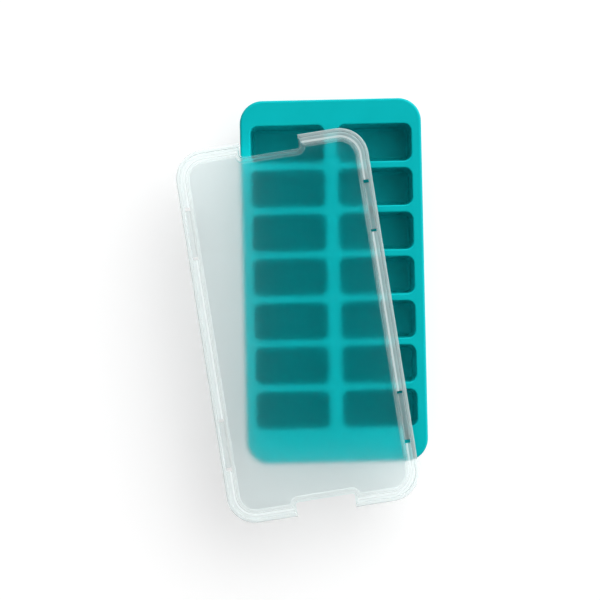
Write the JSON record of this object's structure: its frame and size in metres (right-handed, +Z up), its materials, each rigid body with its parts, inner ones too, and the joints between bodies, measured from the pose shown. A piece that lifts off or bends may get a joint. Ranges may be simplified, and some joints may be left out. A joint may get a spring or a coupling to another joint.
{
  "type": "ice cube tray with lid",
  "caption": "Soft silicone ice cube tray with deep oblong cups, and a stiff see-through snap lid with a frosted panel lying askew on top.",
  "frame": {"origin": "middle of the tray in plan, on the plane that its cups stand on", "axes": "+Z up out of the cups, +Y along the tray away from its wide grip end, +X across the tray"},
  "size_m": [0.1497, 0.2564, 0.0415],
  "materials": {
    "silicone": "teal silicone, satin",
    "clear_plastic": "clear gloss border round a finely frosted panel"
  },
  "bodies": {
    "tray": {"tray": "silicone"},
    "lid": {"lid": "clear_plastic"}
  },
  "joints": [
    {"name": "lid_lift", "type": "slide", "parent": "tray", "child": "lid", "axis": [0, 0, 1], "range_m": [0, 0.06]}
  ]
}
